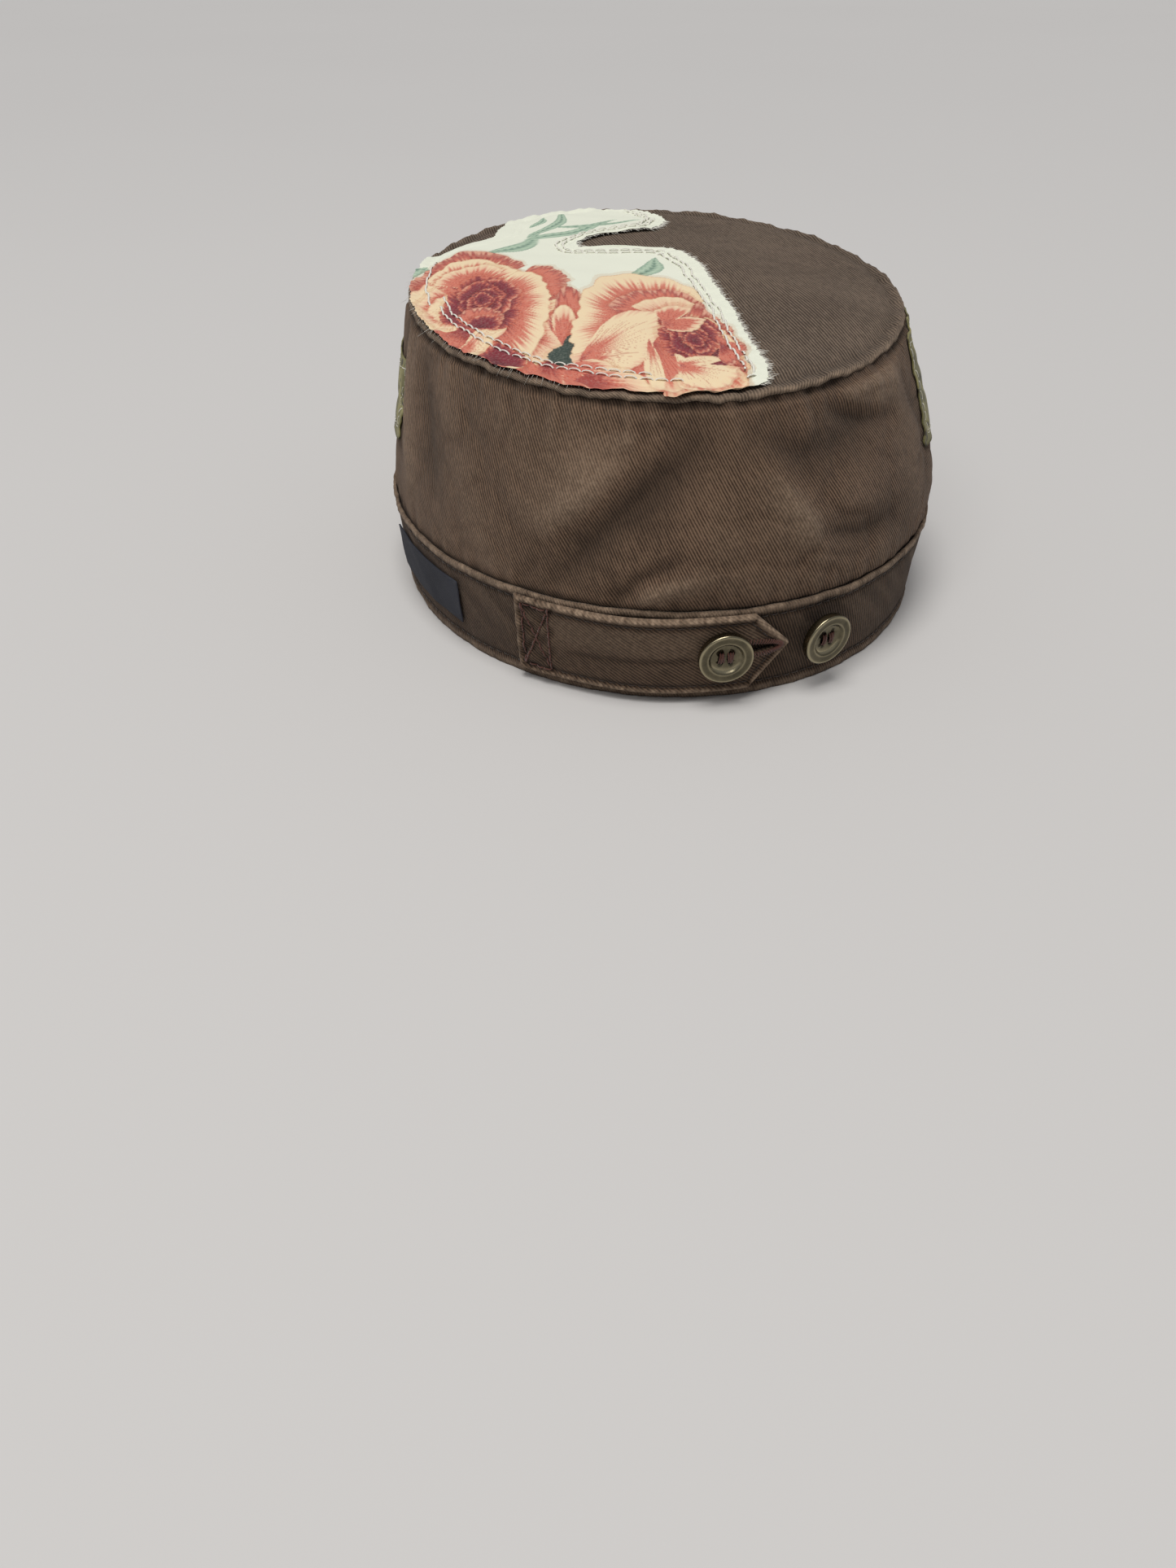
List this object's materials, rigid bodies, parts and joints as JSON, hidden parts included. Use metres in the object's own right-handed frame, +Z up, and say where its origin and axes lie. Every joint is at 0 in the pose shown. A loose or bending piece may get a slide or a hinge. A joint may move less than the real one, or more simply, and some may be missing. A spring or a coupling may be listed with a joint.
{
  "type": "cadet cap",
  "caption": "Soft flat-topped cadet cap with a band, a stiff visor, a buttoned rear adjuster tab and frayed floral cloth patches on its crown.",
  "frame": {"origin": "centre of the cap's plan box, on the surface it stands on (the rear lower edge of the band)", "axes": "+Z up, -Y out of the visor, +X to the wearer's left"},
  "size_m": [0.1769, 0.2605, 0.0925],
  "materials": {
    "twill": "washed brown cotton twill",
    "lining": "plain weave sweatband",
    "tape": "cotton seam tape",
    "interlining": "stiffened buckram",
    "visor_board": "matte moulded board",
    "rose_print": "printed cotton, white ground",
    "olive_print": "printed cotton, yellow-olive ground",
    "label_cloth": "woven dark label, blank",
    "care_cloth": "white satin tape, blank",
    "antique_brass": "antique, brushed, worn",
    "thread": "dark red-brown sewing thread"
  },
  "bodies": {
    "cap": {"top_panel": "twill", "front_panel": "twill", "back_panel": "twill", "front_interlining": "interlining", "crown_seam_tape": "tape", "left_side_seam_tape": "tape", "right_side_seam_tape": "tape", "outer_band": "twill", "sweatband": "lining", "care_label": "care_cloth", "side_label": "label_cloth", "visor_top_cover": "twill", "visor_board": "visor_board", "visor_under_cover": "twill", "crown_applique": "rose_print", "front_applique": "rose_print", "left_side_applique": "olive_print", "right_side_applique": "olive_print", "tab_sewn_face": "twill", "tab_sewn_backing": "twill"},
    "tab": {"tab_strap_face": "twill", "tab_strap_backing": "twill", "tab_tip_face": "twill", "tab_tip_backing": "twill", "buttonhole_stitching": "thread"},
    "near_button_set": {"near_button": "antique_brass", "near_button_thread": "thread"},
    "far_button_set": {"far_button": "antique_brass", "far_button_thread": "thread"}
  },
  "joints": [
    {"name": "tab_swing", "type": "hinge", "parent": "cap", "child": "tab", "pos_m": [0.04373, 0.11317, 0.0152], "axis": [0, 0, -1], "range_deg": [0, 105], "stiffness_Nm_per_rad": 0.0004, "deforming": ["tab_tip_face", "tab_tip_backing", "buttonhole_stitching"]},
    {"name": "near_button_twist", "type": "hinge", "parent": "cap", "child": "near_button_set", "pos_m": [-0.00289, 0.12349, 0.0166], "axis": [-0.0407, 0.9937, -0.1047], "range_deg": [-30, 30], "stiffness_Nm_per_rad": 0.0003},
    {"name": "far_button_twist", "type": "hinge", "parent": "cap", "child": "far_button_set", "pos_m": [-0.03134, 0.11652, 0.0166], "axis": [-0.4197, 0.9016, -0.1045], "range_deg": [-30, 30], "stiffness_Nm_per_rad": 0.0003}
  ]
}
